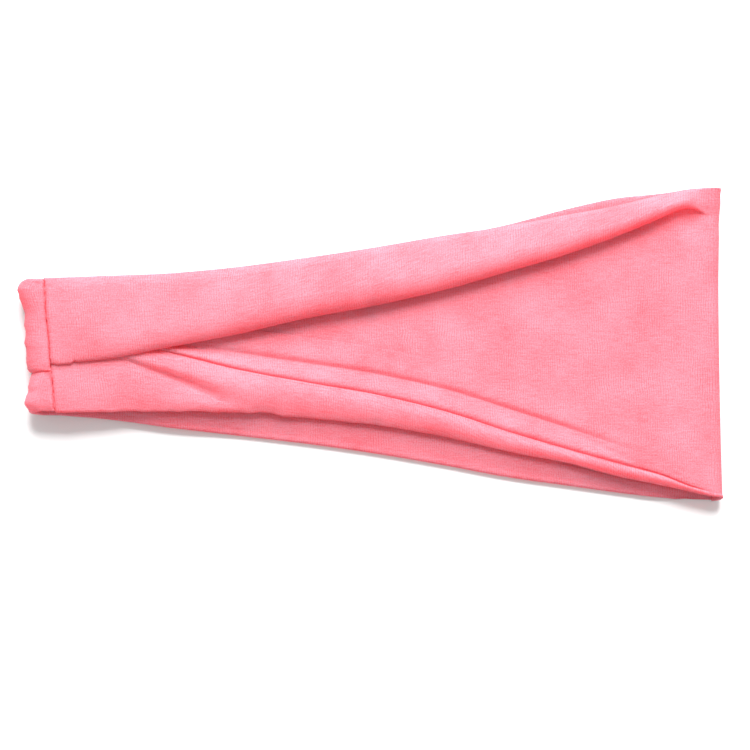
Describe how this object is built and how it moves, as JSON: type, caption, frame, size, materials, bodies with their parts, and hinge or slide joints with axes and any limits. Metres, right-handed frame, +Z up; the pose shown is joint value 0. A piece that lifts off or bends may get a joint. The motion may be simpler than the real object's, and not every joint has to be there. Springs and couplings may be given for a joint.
{
  "type": "sports headband",
  "caption": "Wide stretch-jersey sports headband lying flat: a closed loop, folded narrow at the sewn back seam and spreading wide at the front, to keep sweat and hair off the face.",
  "frame": {"origin": "centre of the bounding box's base, on the surface that the headband lies on", "axes": "+X along the band from the back seam to the front fold, +Y across the band towards the upper flap's fold, +Z up, away from the surface"},
  "size_m": [0.2404, 0.1074, 0.0122],
  "materials": {
    "jersey": "soft matt stretch jersey with a light sheen, fine wales and short slub streaks",
    "thread": "matched polyester sewing thread"
  },
  "bodies": {
    "far_layer": {"far_panel": "jersey", "far_upper_flap": "jersey", "far_lower_flap": "jersey", "far_tube_seam_thread": "thread", "front_fold": "jersey", "back_wrap_panel": "jersey", "back_wrap_lower_flap": "jersey", "back_wrap_upper_flap": "jersey", "seam_allowance": "jersey", "back_seam_thread": "thread", "overlock_thread": "thread"},
    "near_layer": {"near_panel": "jersey", "near_upper_flap": "jersey", "near_lower_flap": "jersey", "near_tube_seam_thread": "thread"}
  },
  "joints": [
    {"name": "loop_opening", "type": "slide", "parent": "far_layer", "child": "near_layer", "axis": [0, 0, 1], "range_m": [0, 0.06]}
  ]
}
